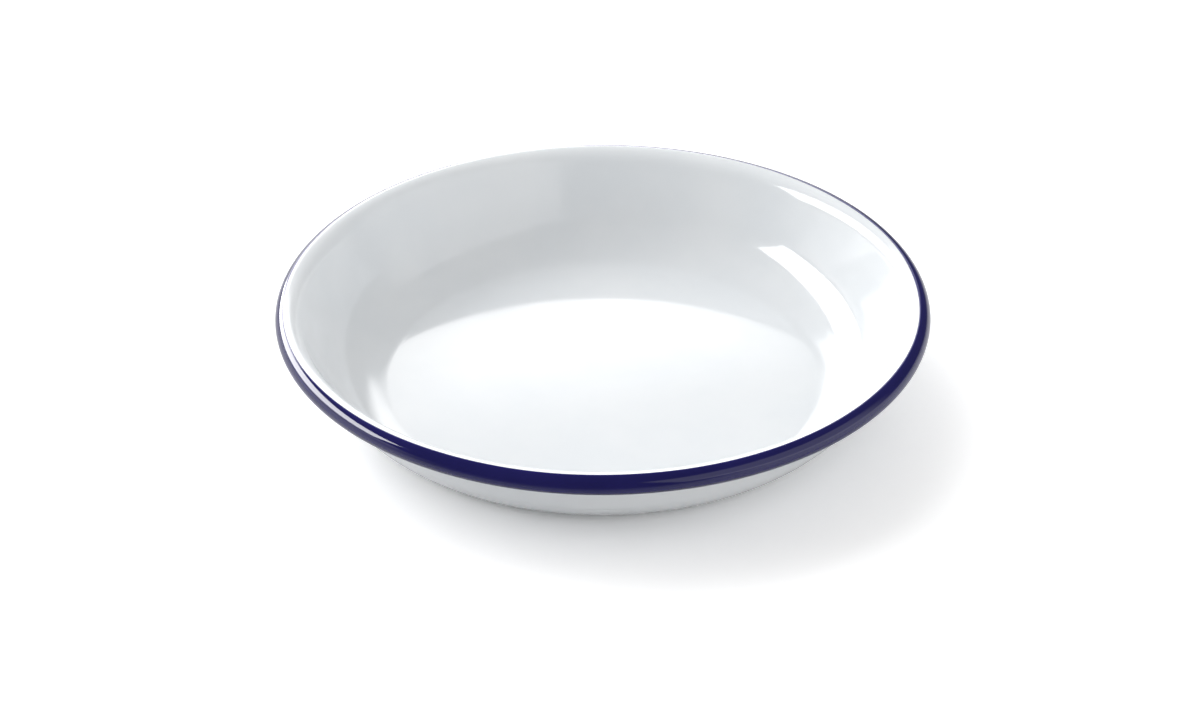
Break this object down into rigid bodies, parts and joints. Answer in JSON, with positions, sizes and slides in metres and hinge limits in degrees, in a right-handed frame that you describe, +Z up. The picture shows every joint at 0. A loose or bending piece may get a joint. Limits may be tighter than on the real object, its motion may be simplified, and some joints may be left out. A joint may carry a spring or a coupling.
{
  "type": "soup plate",
  "caption": "Round enamelled steel soup plate: flat base, rounded corner, sloping wall that flares into a hollow rolled rim in dark blue enamel, for serving soup or food.",
  "frame": {"origin": "centre of the base's underside, on the surface that the plate stands on", "axes": "+Z up along the plate's axis, out of its open side; X and Y lie across the round plate, which is the same all round"},
  "size_m": [0.22, 0.22, 0.033],
  "materials": {
    "steel": "bare pickled sheet, covered by the enamel",
    "ground_enamel": "dark semi-gloss grip enamel, covered by the cover coats",
    "white_enamel": "high-gloss fired white enamel",
    "blue_enamel": "high-gloss fired dark blue enamel"
  },
  "bodies": {
    "root": {"steel_pressing": "steel", "inner_ground_coat": "ground_enamel", "outer_ground_coat": "ground_enamel", "inner_white_enamel": "white_enamel", "outer_white_enamel": "white_enamel", "blue_rim_enamel": "blue_enamel"}
  },
  "joints": []
}
